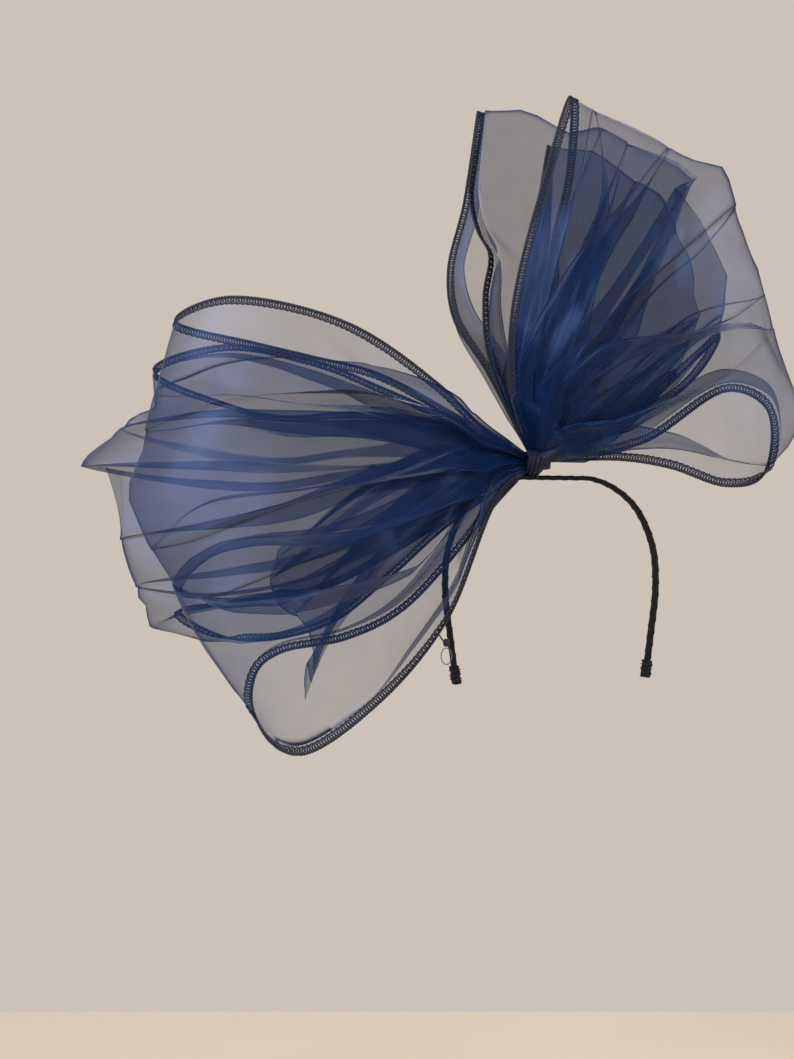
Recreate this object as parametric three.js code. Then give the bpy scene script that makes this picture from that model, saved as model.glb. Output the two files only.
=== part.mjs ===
// Oversized organza bow on a narrow ribbon-covered headband.
// Millimetres. +X runs along the bow's spread, +Y runs towards the back, +Z is up.
// The origin is on the flat underside of the headband, straight below the knot.
// Two long strips of organza are each folded into a left and a right loop, a third one is folded
// into two smaller inner loops, and all three are pinched together inside the knot.

import * as THREE from 'three';

// ---- driving dimensions ----
const BAND_TURN_DEG = 20;
const BAND_WIDTH = 6.0;
const BAND_HEIGHT = 3.2;
const WRAP_WALL = 0.6;
const CORE_PLAY = 0.3;
const BAND_SPLIT = 0.3;
const SPLIT_GAP = 0.4;
const TIP_LENGTH = 12;
const TIP_WALL = 0.9;
const TIP_ROUNDING = 0.5;
const FIT_GAP = 0.3;

const KNOT_Z = 13;
const PINCH_RADIUS_Y = 7.6;
const PINCH_RADIUS_Z = 6.4;
const PINCH_LENGTH = 18;
const PINCH_SHOULDER = 2;
const PINCH_ROUNDING = 1;
const KNOT_WIDTH = 14;
const KNOT_WALL = 1.5;
const THREAD_RADIUS = 0.4;
const THREAD_TURNS = 3;
const THREAD_PITCH = 3;
const THREAD_SLACK = 0.04;

const ORGANZA_THICKNESS = 1.2;
const HEM_WIDTH = 4.2;
const HEM_THICKNESS = 1.6;
const HEM_GAP = 1.0;
const LOOP_STEPS = 26;
const WIDTH_STEPS = 6;
const FOLD_REACH_POWER = 2.2;
const NORMAL_STEP = 0.004;
const EDGE_SAMPLE = 0.02;

// ---- materials ----
const ORGANZA_COLOUR = 0x23406e;
const HEM_COLOUR = 0x10131f;
const KNOT_COLOUR = 0x1a2148;
const RIBBON_COLOUR = 0x0c0c10;
const CORE_COLOUR = 0x1c1c1e;
const FILAMENT_COLOUR = 0x2a2d3a;

function material(color, roughness, metalness = 0) {
  return new THREE.MeshStandardMaterial({ color, roughness, metalness });
}

const organza = material(ORGANZA_COLOUR, 0.45);
const hemThread = material(HEM_COLOUR, 0.8);
const knotFabric = material(KNOT_COLOUR, 0.5);
const ribbon = material(RIBBON_COLOUR, 0.6);
const bandPlastic = material(CORE_COLOUR, 0.4);
const filament = material(FILAMENT_COLOUR, 0.25);

const bow = new THREE.Group();

function addPart(name, geometry, partMaterial) {
  const mesh = new THREE.Mesh(geometry, partMaterial);
  mesh.name = name;
  bow.add(mesh);
  return mesh;
}

// ---- closed bodies from rings and grids of points ----
function signedVolume(points, faces) {
  const cross = new THREE.Vector3();
  let volume = 0;
  for (const [a, b, c] of faces) {
    volume += points[a].dot(cross.crossVectors(points[b], points[c]));
  }
  return volume;
}

function closedGeometry(points, faces) {
  const outward = signedVolume(points, faces) > 0;
  const geometry = new THREE.BufferGeometry();
  const index = faces.flatMap(([a, b, c]) => (outward ? [a, b, c] : [a, c, b]));
  geometry.setAttribute(
    'position',
    new THREE.Float32BufferAttribute(points.flatMap((p) => [p.x, p.y, p.z]), 3),
  );
  geometry.setIndex(index);
  geometry.computeVertexNormals();
  return geometry;
}

// Skins a list of rings that all have the same number of corners. Joined end to end, the rings
// make a ring-shaped body; otherwise the first and the last ring are capped.
function loft(rings, joined) {
  const corners = rings[0].length;
  const points = rings.flat();
  const faces = [];
  const last = joined ? rings.length : rings.length - 1;
  for (let i = 0; i < last; i += 1) {
    const here = i * corners;
    const next = ((i + 1) % rings.length) * corners;
    for (let j = 0; j < corners; j += 1) {
      const k = (j + 1) % corners;
      faces.push([here + j, here + k, next + k]);
      faces.push([here + j, next + k, next + j]);
    }
  }
  if (!joined) {
    const end = (rings.length - 1) * corners;
    for (let j = 1; j < corners - 1; j += 1) {
      faces.push([0, j + 1, j]);
      faces.push([end, end + j, end + j + 1]);
    }
  }
  return closedGeometry(points, faces);
}

// A sheet of even thickness around the surface at(u, v).
function sheetSolid(at, uSteps, vSteps, thickness) {
  const rows = [[], []];
  for (let i = 0; i <= uSteps; i += 1) {
    for (let j = 0; j <= vSteps; j += 1) {
      const u = i / uSteps;
      const v = j / vSteps;
      const point = at(u, v);
      const normal = surfaceNormal(at, u, v);
      rows[0].push(point.clone().addScaledVector(normal, thickness / 2));
      rows[1].push(point.clone().addScaledVector(normal, -thickness / 2));
    }
  }
  const points = rows.flat();
  const width = vSteps + 1;
  const layer = rows[0].length;
  const faces = [];
  const quad = (a, b, c, d) => faces.push([a, b, c], [a, c, d]);
  for (let i = 0; i < uSteps; i += 1) {
    for (let j = 0; j < vSteps; j += 1) {
      const a = i * width + j;
      quad(a, a + width, a + width + 1, a + 1);
      quad(layer + a, layer + a + 1, layer + a + width + 1, layer + a + width);
    }
  }
  const rim = [];
  for (let i = 0; i < uSteps; i += 1) rim.push(i * width);
  for (let j = 0; j < vSteps; j += 1) rim.push(uSteps * width + j);
  for (let i = uSteps; i > 0; i -= 1) rim.push(i * width + vSteps);
  for (let j = vSteps; j > 0; j -= 1) rim.push(j);
  rim.forEach((a, n) => {
    const b = rim[(n + 1) % rim.length];
    quad(b, a, layer + a, layer + b);
  });
  return closedGeometry(points, faces);
}

function surfaceNormal(at, u, v) {
  const u0 = Math.max(0, u - NORMAL_STEP);
  const u1 = Math.min(1, u + NORMAL_STEP);
  const v0 = Math.max(0, v - NORMAL_STEP);
  const v1 = Math.min(1, v + NORMAL_STEP);
  const along = at(u1, v).sub(at(u0, v));
  const across = at(u, v1).sub(at(u, v0));
  return along.cross(across).normalize();
}

// ---- headband ----
const bandTurn = THREE.MathUtils.degToRad(BAND_TURN_DEG);
const bandAcross = new THREE.Vector3(-Math.sin(bandTurn), Math.cos(bandTurn), 0);

// Points of the band's middle line: distance along the ear-to-ear line, and height.
const BAND_APEX = 12;
const LEVEL_TOLERANCE = 0.01;
const HALF_ARCH = [
  [69.5, -134],
  [73.5, -106],
  [77.5, -72],
  [75, -44],
  [62, -18],
  [44, -4],
  [26, BAND_HEIGHT / 2],
  [10, BAND_HEIGHT / 2],
];

function bandPoint(along, z) {
  return new THREE.Vector3(along * Math.cos(bandTurn), along * Math.sin(bandTurn), z);
}

const nearHalf = HALF_ARCH.map(([a, z]) => bandPoint(BAND_APEX - a, z));
const farHalf = HALF_ARCH.map(([a, z]) => bandPoint(BAND_APEX + a, z)).reverse();
const bandCurve = new THREE.CatmullRomCurve3([...nearHalf, ...farHalf], false, 'centripetal');
const bandLength = bandCurve.getLength();

// A rectangle with cut corners, square to the band at a given share of its length. Over the
// crown the band lies level, so its underside is one flat face there.
function bandSection(share, width, height, cut) {
  const centre = bandCurve.getPointAt(share);
  const tangent = bandCurve.getTangentAt(share);
  const outward = new THREE.Vector3().crossVectors(tangent, bandAcross).normalize();
  if (centre.z > BAND_HEIGHT / 2 - LEVEL_TOLERANCE) {
    centre.z = BAND_HEIGHT / 2;
    outward.set(0, 0, 1);
  }
  const w = width / 2;
  const h = height / 2;
  const outline = [
    [w, h - cut], [w - cut, h], [cut - w, h], [-w, h - cut],
    [-w, cut - h], [cut - w, -h], [w - cut, -h], [w, cut - h],
  ];
  return outline.map(([a, b]) => centre.clone()
    .addScaledVector(bandAcross, a)
    .addScaledVector(outward, b));
}

function bandRings(from, to, steps, width, height, cut) {
  const rings = [];
  for (let i = 0; i <= steps; i += 1) {
    rings.push(bandSection(from + ((to - from) * i) / steps, width, height, cut));
  }
  return rings;
}

const CORNER_CUT = 0.6;
const coreWidth = BAND_WIDTH - 2 * (WRAP_WALL + CORE_PLAY);
const coreHeight = BAND_HEIGHT - 2 * (WRAP_WALL + CORE_PLAY);

function bandCore(name, from, to, steps) {
  addPart(name, loft(bandRings(from, to, steps, coreWidth, coreHeight, CORNER_CUT / 2), false),
    bandPlastic);
}

function bandWrap(name, from, to, steps) {
  const outer = bandRings(from, to, steps, BAND_WIDTH, BAND_HEIGHT, CORNER_CUT);
  const bore = bandRings(from, to, steps, BAND_WIDTH - 2 * WRAP_WALL,
    BAND_HEIGHT - 2 * WRAP_WALL, CORNER_CUT / 2).reverse();
  addPart(name, loft([...outer, ...bore], true), ribbon);
}

// A cup over the end of the ribbon: the folded and stitched ribbon end.
function bandTip(name, end, inner) {
  const width = BAND_WIDTH + 2 * (FIT_GAP + TIP_WALL);
  const height = BAND_HEIGHT + 2 * (FIT_GAP + TIP_WALL);
  const boreWidth = BAND_WIDTH + 2 * FIT_GAP;
  const boreHeight = BAND_HEIGHT + 2 * FIT_GAP;
  const floor = end + (inner - end) * (TIP_WALL / TIP_LENGTH);
  const mid = (end + inner) / 2;
  addPart(name, loft([
    bandSection(end, width - 2 * TIP_ROUNDING, height - 2 * TIP_ROUNDING, CORNER_CUT),
    bandSection(floor, width, height, CORNER_CUT),
    bandSection(mid, width, height, CORNER_CUT),
    bandSection(inner, width, height, CORNER_CUT),
    bandSection(inner, boreWidth, boreHeight, CORNER_CUT / 2),
    bandSection(mid, boreWidth, boreHeight, CORNER_CUT / 2),
    bandSection(floor, boreWidth, boreHeight, CORNER_CUT / 2),
  ], false), ribbon);
}

const tipShare = TIP_LENGTH / bandLength;
const floorShare = (TIP_WALL + FIT_GAP) / bandLength;
const gapShare = SPLIT_GAP / bandLength / 2;

bandCore('band_core_near_arm', floorShare, BAND_SPLIT - gapShare, 10);
bandCore('band_core_crown', BAND_SPLIT + gapShare, 1 - BAND_SPLIT - gapShare, 16);
bandCore('band_core_far_arm', 1 - BAND_SPLIT + gapShare, 1 - floorShare, 10);
bandWrap('band_wrap_near_arm', floorShare, BAND_SPLIT - gapShare, 10);
bandWrap('band_wrap_crown', BAND_SPLIT + gapShare, 1 - BAND_SPLIT - gapShare, 16);
bandWrap('band_wrap_far_arm', 1 - BAND_SPLIT + gapShare, 1 - floorShare, 10);
bandTip('band_tip_near', 0, tipShare);
bandTip('band_tip_far', 1, 1 - tipShare);

// ---- knot ----
function knotRing(x, radiusY, radiusZ, corners) {
  const ring = [];
  for (let i = 0; i < corners; i += 1) {
    const angle = (2 * Math.PI * i) / corners;
    ring.push(new THREE.Vector3(
      x,
      radiusY * Math.cos(angle),
      KNOT_Z + radiusZ * Math.sin(angle),
    ));
  }
  return ring;
}

const KNOT_CORNERS = 28;
const threadSpace = 2 * THREAD_RADIUS + 2 * FIT_GAP;
const knotBoreY = PINCH_RADIUS_Y + threadSpace;
const knotBoreZ = PINCH_RADIUS_Z + threadSpace;

const pinchRing = (x, rounding) => knotRing(
  x,
  PINCH_RADIUS_Y - rounding,
  PINCH_RADIUS_Z - rounding,
  KNOT_CORNERS,
);
addPart('pinched_centre', loft([
  pinchRing(-PINCH_LENGTH / 2, PINCH_ROUNDING),
  pinchRing(PINCH_SHOULDER - PINCH_LENGTH / 2, 0),
  pinchRing(PINCH_LENGTH / 2 - PINCH_SHOULDER, 0),
  pinchRing(PINCH_LENGTH / 2, PINCH_ROUNDING),
], false), organza);

// The wrap's outside, as shares of its half width and of its wall; its bore is straight.
const KNOT_PROFILE = [
  [-1, 0], [-0.96, 0.47], [-0.6, 0.83], [0, 1], [0.6, 0.83], [0.96, 0.47], [1, 0],
];
addPart('knot_wrap', loft(
  KNOT_PROFILE.map(([x, rise]) => knotRing(
    (x * KNOT_WIDTH) / 2,
    knotBoreY + rise * KNOT_WALL,
    knotBoreZ + rise * KNOT_WALL,
    KNOT_CORNERS,
  )),
  true,
), knotFabric);

class PinchHelix extends THREE.Curve {
  getPoint(t, target = new THREE.Vector3()) {
    const angle = 2 * Math.PI * THREAD_TURNS * t;
    const clear = THREAD_RADIUS + FIT_GAP;
    return target.set(
      (t - 0.5) * THREAD_TURNS * THREAD_PITCH,
      (PINCH_RADIUS_Y + clear) * Math.cos(angle),
      KNOT_Z + (PINCH_RADIUS_Z + clear) * Math.sin(angle),
    );
  }
}

function roundSection(radius, sides) {
  const shape = new THREE.Shape();
  for (let i = 0; i < sides; i += 1) {
    const angle = (2 * Math.PI * i) / sides;
    const x = radius * Math.cos(angle);
    const y = radius * Math.sin(angle);
    if (i === 0) shape.moveTo(x, y);
    else shape.lineTo(x, y);
  }
  return shape;
}

function tube(curve, radius, sides, steps) {
  return new THREE.ExtrudeGeometry(roundSection(radius, sides), { steps, extrudePath: curve });
}

addPart('binding_thread', tube(new PinchHelix(), THREAD_RADIUS - THREAD_SLACK, 6, 60), hemThread);

// Two stitches tie the knot wrap to the band, one at the front and one at the back.
const STITCH_RADIUS = 0.5;
const STITCH_STAND_OFF = 4;
// Each point is a distance out from the band's side and a height above its underside.
const STITCH_LINE = [[0, 0.8], [0.4, 2.4], [0.6, 3.6]];
function tackStitch(name, side) {
  const points = STITCH_LINE.map(([out, z]) => (
    new THREE.Vector3(0, side * (STITCH_STAND_OFF + out), z)
  ));
  addPart(name, tube(new THREE.CatmullRomCurve3(points), STITCH_RADIUS, 8, 6), hemThread);
}

tackStitch('tack_stitch_front', -1);
tackStitch('tack_stitch_back', 1);

// ---- organza loops ----
// A selvedge runs from the knot along the front layer, round the fold and back to the knot.
// The fold's place in the list is at u = 0.5.
function selvedge(points, foldIndex) {
  const curve = new THREE.CatmullRomCurve3(
    points.map(([x, y, z]) => new THREE.Vector3(x, y, z)),
    false,
    'centripetal',
  );
  const lengths = curve.getLengths(200);
  const foldShare = lengths[Math.round((200 * foldIndex) / (points.length - 1))] / lengths[200];
  return (u) => curve.getPointAt(
    u < 0.5 ? 2 * u * foldShare : foldShare + (2 * u - 1) * (1 - foldShare),
  );
}

function spline(points) {
  return new THREE.CatmullRomCurve3(
    points.map(([x, y, z]) => new THREE.Vector3(x, y, z)),
    false,
    'centripetal',
  );
}

// The organza of one loop: it spans its two selvedges, reaches out to the fold line between
// them, and bellies forward at the front layer and backward at the back layer.
function loopSurface({ top, bottom, foldIndex, fold, frontBelly, backBelly }) {
  const upper = selvedge(top, foldIndex);
  const lower = selvedge(bottom, foldIndex);
  const foldLine = spline(fold);
  return (u, v) => {
    const point = lower(u).lerp(upper(u), v);
    const straightFold = lower(0.5).lerp(upper(0.5), v);
    const reach = (1 - Math.abs(2 * u - 1)) ** FOLD_REACH_POWER;
    point.addScaledVector(foldLine.getPointAt(v).sub(straightFold), reach);
    const belly = Math.sin(2 * Math.PI * u) * Math.sin(Math.PI * v);
    point.y -= belly > 0 ? belly * frontBelly : belly * backBelly;
    return point;
  };
}

// The overlocked edge of one selvedge, with the filament inside it, as a flat band that runs
// just outside the organza and ends where the gathers go into the knot.
function hemSolid(at, v) {
  const rings = [];
  for (let i = 1; i < LOOP_STEPS; i += 1) {
    const u = i / LOOP_STEPS;
    const normal = surfaceNormal(at, u, v);
    const along = at(u + NORMAL_STEP, v).sub(at(u - NORMAL_STEP, v)).normalize();
    const outward = along.clone().cross(normal).normalize();
    const inside = at(u, v === 1 ? 1 - EDGE_SAMPLE : EDGE_SAMPLE).sub(at(u, v));
    if (outward.dot(inside) > 0) outward.negate();
    const edge = at(u, v);
    const corner = (out, side) => edge.clone()
      .addScaledVector(outward, out)
      .addScaledVector(normal, (side * HEM_THICKNESS) / 2);
    rings.push([
      corner(HEM_GAP, 1),
      corner(HEM_GAP + HEM_WIDTH, 1),
      corner(HEM_GAP + HEM_WIDTH, -1),
      corner(HEM_GAP, -1),
    ]);
  }
  return loft(rings, false);
}

const LOOPS = {
  left_front: {
    foldIndex: 5,
    frontBelly: 16,
    backBelly: 4,
    hems: true,
    top: [
      [-14, -7.5, 19], [-39, -24, 36], [-66, -38, 61], [-125, -52, 99], [-202, -46, 116],
      [-238, -20, 104],
      [-187, 2, 92], [-149, 3, 83], [-105, -4, 71], [-40, -12, 35], [-14, -5, 19],
    ],
    bottom: [
      [-14, -7.5, 8], [-28, -32, -14], [-62, -66, -91], [-104, -88, -140], [-150, -90, -171],
      [-172, -74, -165],
      [-182, -58, -139], [-138, -50, -107], [-81, -46, -78], [-26, -24, -14], [-14, -5, 8],
    ],
    fold: [[-172, -74, -165], [-207, -60, -107], [-267, -40, -9], [-257, -34, 33], [-238, -20, 104]],
  },
  left_rear: {
    foldIndex: 5,
    frontBelly: 0,
    backBelly: 10,
    hems: true,
    top: [
      [-14, 3, 19], [-60, 14, 44], [-105, 24, 65], [-151, 34, 84], [-215, 42, 95],
      [-264, 56, 80],
      [-213, 82, 57], [-177, 86, 49], [-124, 76, 51], [-59, 38, 41], [-14, 5.5, 19],
    ],
    bottom: [
      [-14, 3, 7], [-60, 14, -32], [-100, 24, -68], [-141, 34, -99], [-202, 42, -110],
      [-245, 58, -90],
      [-194, 82, -84], [-143, 78, -75], [-100, 62, -53], [-59, 36, -27], [-14, 5.5, 7],
    ],
    fold: [[-245, 58, -90], [-272, 56, -90], [-306, 60, 11], [-272, 58, 50], [-264, 56, 80]],
  },
  left_inner: {
    foldIndex: 5,
    frontBelly: 0,
    backBelly: 0,
    hems: false,
    top: [
      [-14, -2, 19], [-60, -2, 25], [-95, 0, 12], [-125, 2, -10], [-145, 4, -30],
      [-160, 12, -40],
      [-145, 20, -30], [-125, 18, -10], [-95, 14, 12], [-60, 5, 25], [-14, 0.5, 19],
    ],
    bottom: [
      [-14, -2, 8], [-44, -2, 3], [-84, 0, -34], [-112, 3, -72], [-140, 8, -112],
      [-155, 12, -148],
      [-140, 16, -112], [-112, 16, -72], [-84, 12, -30], [-44, 4, 4], [-14, 0.5, 8],
    ],
    fold: [[-155, 12, -148], [-152, 12, -116], [-166, 12, -90], [-181, 12, -62], [-160, 12, -40]],
  },
  right_front: {
    foldIndex: 4,
    frontBelly: 16,
    backBelly: 0,
    hems: true,
    top: [
      [-2, -7, 32], [-19, -22, 62], [-19, -36, 110], [0, -48, 190],
      [19, -30, 248],
      [18, -14, 199], [10, -10, 163], [-1, -10, 100], [-2, -4.5, 32],
    ],
    bottom: [
      [19, -7, 13], [52, -26, 12], [82, -44, 6], [115, -56, -6],
      [140, -44, 0],
      [148, -24, 45], [126, -12, 58], [70, -9, 24], [19, -4.5, 14],
    ],
    fold: [
      [140, -44, 0], [168, -33, 38], [147, -34, 112], [124, -34, 179], [98, -32, 208],
      [43, -30, 235], [19, -30, 248],
    ],
  },
  right_inner: {
    foldIndex: 4,
    frontBelly: 0,
    backBelly: 2,
    hems: true,
    top: [
      [-2, -2, 32], [-19, -1, 63], [-17, 0, 96], [-6, 2, 145],
      [8, 8, 225],
      [-4, 15, 145], [-15, 12, 96], [-16, 6, 63], [-2, 0.5, 32],
    ],
    bottom: [
      [19, -2, 13], [45, -2, 22], [65, 0, 38], [80, 4, 54],
      [95, 10, 70],
      [82, 16, 62], [64, 13, 44], [44, 6, 28], [19, 0.5, 14],
    ],
    fold: [[95, 10, 70], [111, 10, 110], [105, 10, 150], [83, 9, 190], [40, 8, 222], [8, 8, 225]],
  },
  right_rear: {
    foldIndex: 5,
    frontBelly: 0,
    backBelly: 10,
    hems: true,
    top: [
      [-2, 3, 32], [-24, 14, 61], [-34, 24, 97], [-30, 32, 157], [-41, 42, 215],
      [-37, 52, 259],
      [-46, 72, 198], [-57, 74, 152], [-54, 64, 117], [-32, 36, 76], [-2, 5.5, 32],
    ],
    bottom: [
      [19, 3, 13], [50, 14, 30], [75, 24, 45], [100, 32, 60], [120, 40, 80],
      [132, 52, 100],
      [118, 76, 86], [95, 76, 64], [70, 60, 46], [45, 36, 30], [19, 5.5, 14],
    ],
    fold: [
      [132, 52, 100], [140, 56, 147], [128, 60, 184], [100, 62, 223], [50, 60, 250],
      [-2, 56, 261], [-37, 52, 259],
    ],
  },
};

for (const [name, loop] of Object.entries(LOOPS)) {
  const at = loopSurface(loop);
  addPart(`${name}_loop`, sheetSolid(at, LOOP_STEPS, WIDTH_STEPS, ORGANZA_THICKNESS), organza);
  if (loop.hems) {
    addPart(`${name}_top_edge`, hemSolid(at, 1), hemThread);
    addPart(`${name}_bottom_edge`, hemSolid(at, 0), hemThread);
  }
}

// ---- tied-off end of the edge filament, under the left front loop ----
const TIE_OFF = new THREE.Vector3(-62, -66, -104);
const TIE_RADIUS = 2.6;
const FILAMENT_LOOP_RADIUS = 5;
const FILAMENT_RADIUS = 0.5;

const knotBlob = new THREE.SphereGeometry(TIE_RADIUS, 10, 8);
addPart('edge_thread_knot', knotBlob, hemThread).position.copy(TIE_OFF);

const filamentLoop = new THREE.TorusGeometry(FILAMENT_LOOP_RADIUS, FILAMENT_RADIUS, 8, 24);
const filamentMesh = addPart('filament_end_loop', filamentLoop, filament);
const filamentDrop = TIE_RADIUS + FILAMENT_LOOP_RADIUS + FILAMENT_RADIUS + FIT_GAP;
filamentMesh.rotation.x = Math.PI / 2;
filamentMesh.position.copy(TIE_OFF).add(new THREE.Vector3(0, 0, -filamentDrop));

export default bow;
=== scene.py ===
import math

import bpy
import numpy as np
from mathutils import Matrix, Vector


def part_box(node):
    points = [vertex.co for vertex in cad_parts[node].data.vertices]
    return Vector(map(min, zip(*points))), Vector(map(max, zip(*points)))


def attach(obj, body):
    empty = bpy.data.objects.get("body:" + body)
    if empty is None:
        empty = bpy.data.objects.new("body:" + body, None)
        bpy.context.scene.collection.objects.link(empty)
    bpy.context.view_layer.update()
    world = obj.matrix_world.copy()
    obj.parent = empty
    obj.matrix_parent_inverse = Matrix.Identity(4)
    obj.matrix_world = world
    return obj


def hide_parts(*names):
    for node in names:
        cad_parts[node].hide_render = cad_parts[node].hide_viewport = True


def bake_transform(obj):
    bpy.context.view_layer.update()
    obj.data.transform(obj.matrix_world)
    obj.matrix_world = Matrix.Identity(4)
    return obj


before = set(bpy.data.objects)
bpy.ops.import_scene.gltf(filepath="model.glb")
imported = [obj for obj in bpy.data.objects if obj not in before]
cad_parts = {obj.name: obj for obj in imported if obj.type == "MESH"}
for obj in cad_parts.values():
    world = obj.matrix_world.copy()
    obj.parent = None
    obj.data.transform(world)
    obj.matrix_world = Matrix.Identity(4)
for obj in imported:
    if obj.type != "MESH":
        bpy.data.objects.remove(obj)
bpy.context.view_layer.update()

# ---------------------------------------------------------------------------
# Driving sizes, in metres, in the shared frame: +X along the bow, +Y back, +Z up.
# ---------------------------------------------------------------------------
MM = 0.001
KNOT = np.array([0.0, 0.0, 0.013])
STRIP_WIDTH = 0.31
LOOP_ROWS = 84
GUIDE_COLUMNS = 61
STEPS_PER_RUN = 9
MAIN_FOLD_RISE = 1.25
LEAST_FOLD = 0.0004
CREASES = 16
CREASE_WIDTH = 0.006
BROAD_WAVES = 7
WAVE_HEIGHT = 0.0026
RIPPLE_SHARE = 0.22
BLEND_TO = 0.032
HEM_WIDTH = 0.0048
STITCH_PITCH = 0.0037
CHAIN_RADIUS = 0.00062
RAIL_RADIUS = 0.0006
ZIGZAG_RADIUS = 0.00045
TAIL_RADIUS = 0.0006
TAIL_LAY = 0.0015
TAIL_SAG = 0.0008
KNOT_WIDTH = 0.0135
KNOT_BORE = (0.0090, 0.0078)
KNOT_LEAN = -0.38
BAND_WIDTH = 0.0060
BAND_HEIGHT = 0.0032
BAND_SPLIT = 0.3
BAND_TURN = math.radians(20)
BAND_MIDDLE = 12
RIBBON_LAP = 0.0085
RIBBON_RIDGE = 0.00035
TIP_LENGTH = 0.012
TIP_LAP = 0.006
TIP_RIDGE = 0.0006
HALF_ARCH = ((69.5, -134), (73.5, -106), (77.5, -72), (75, -44), (62, -18), (44, -4), (26, 1.6),
             (10, 1.6))
EYE_DISTANCE = 1.10
FRAME_HEIGHT = 0.706
EYE = (-0.093, -EYE_DISTANCE, -0.033)
FLOOR_Z = -0.477
FLOOR_EDGE = 0.42
FLOOR_HALF = 0.9


# ---------------------------------------------------------------------------
# Camera, light and stage
# ---------------------------------------------------------------------------
def set_stage():
    scene = bpy.context.scene
    camera_data = bpy.data.cameras.new("camera")
    camera_data.sensor_width = 36
    camera_data.lens = 36 * EYE_DISTANCE / FRAME_HEIGHT
    camera_data.clip_start = 0.01
    camera = bpy.data.objects.new("camera", camera_data)
    camera.location = EYE
    camera.rotation_euler = (math.pi / 2, 0, 0)
    scene.collection.objects.link(camera)
    scene.camera = camera
    scene.view_settings.view_transform = "Standard"
    scene.cycles.transparent_max_bounces = 40

    world = bpy.data.worlds.new("studio")
    scene.world = world
    world.use_nodes = True
    background = world.node_tree.nodes["Background"]
    background.inputs["Color"].default_value = (0.66, 0.59, 0.52, 1)
    background.inputs["Strength"].default_value = 0.92

    add_light("window", (-1.2, -1.0, 0.5), 1.0, 36, (0.86, 0.93, 1.0))
    add_light("fill", (1.2, -0.8, 0.5), 0.8, 14, (0.95, 0.96, 1.0))
    add_light("back", (0.3, 1.4, 0.9), 1.2, 14, (1.0, 0.96, 0.9))

    corners = [(-FLOOR_HALF, -0.9, FLOOR_Z), (FLOOR_HALF, -0.9, FLOOR_Z),
               (FLOOR_HALF, FLOOR_EDGE, FLOOR_Z), (-FLOOR_HALF, FLOOR_EDGE, FLOOR_Z)]
    floor = new_mesh("floor", corners, [[0, 1, 2, 3]], smooth=False)
    floor.data.materials.append(floor_material())


def add_light(name, place, size, power, colour):
    data = bpy.data.lights.new(name, "AREA")
    data.size = size
    data.energy = power
    data.color = colour
    light = bpy.data.objects.new(name, data)
    light.location = place
    aim = Vector((0, 0, 0.05)) - Vector(place)
    light.rotation_euler = aim.to_track_quat("-Z", "Y").to_euler()
    bpy.context.scene.collection.objects.link(light)


# ---------------------------------------------------------------------------
# Mesh helpers
# ---------------------------------------------------------------------------
def new_mesh(name, points, faces, uvs=None, smooth=True):
    mesh = bpy.data.meshes.new(name)
    mesh.from_pydata([tuple(p) for p in points], [], faces)
    if uvs is not None:
        layer = mesh.uv_layers.new(name="cloth")
        corner = np.empty(len(mesh.loops), dtype=np.int32)
        mesh.loops.foreach_get("vertex_index", corner)
        layer.data.foreach_set("uv", np.asarray(uvs, dtype=np.float32)[corner].ravel())
    mesh.polygons.foreach_set("use_smooth", [smooth] * len(mesh.polygons))
    mesh.update()
    obj = bpy.data.objects.new(name, mesh)
    bpy.context.scene.collection.objects.link(obj)
    return obj


def spline(points, samples):
    """Centripetal Catmull-Rom through the points, sampled evenly by arc length."""
    p = np.asarray(points, dtype=float)
    p = np.vstack([2 * p[0] - p[1], p, 2 * p[-1] - p[-2]])
    gaps = np.maximum(np.linalg.norm(np.diff(p, axis=0), axis=1) ** 0.5, 1e-6)
    knots = np.concatenate([[0], np.cumsum(gaps)])
    dense = []
    for k in range(1, len(p) - 2):
        t0, t1, t2, t3 = knots[k - 1:k + 3]
        t = np.linspace(t1, t2, 40, endpoint=False)[:, None]
        a1 = (t1 - t) / (t1 - t0) * p[k - 1] + (t - t0) / (t1 - t0) * p[k]
        a2 = (t2 - t) / (t2 - t1) * p[k] + (t - t1) / (t2 - t1) * p[k + 1]
        a3 = (t3 - t) / (t3 - t2) * p[k + 1] + (t - t2) / (t3 - t2) * p[k + 2]
        b1 = (t2 - t) / (t2 - t0) * a1 + (t - t0) / (t2 - t0) * a2
        b2 = (t3 - t) / (t3 - t1) * a2 + (t - t1) / (t3 - t1) * a3
        dense.append((t2 - t) / (t2 - t1) * b1 + (t - t1) / (t2 - t1) * b2)
    dense = np.vstack([*dense, p[-2]])
    return resample(dense, samples)


def cornered(points, samples):
    """Straight runs between the points, with each corner only slightly rounded."""
    line = resample(points, 400)
    ends = line[[0, -1]]
    for _ in range(12):
        line[1:-1] = (line[:-2] + 2 * line[1:-1] + line[2:]) / 4
    line[[0, -1]] = ends
    return resample(line, samples)


def resample(line, samples):
    steps = np.linalg.norm(np.diff(line, axis=0), axis=1)
    run = np.concatenate([[0], np.cumsum(steps)])
    at = np.linspace(0, run[-1], samples)
    return np.stack([np.interp(at, run, line[:, k]) for k in range(3)], axis=1)


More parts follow.
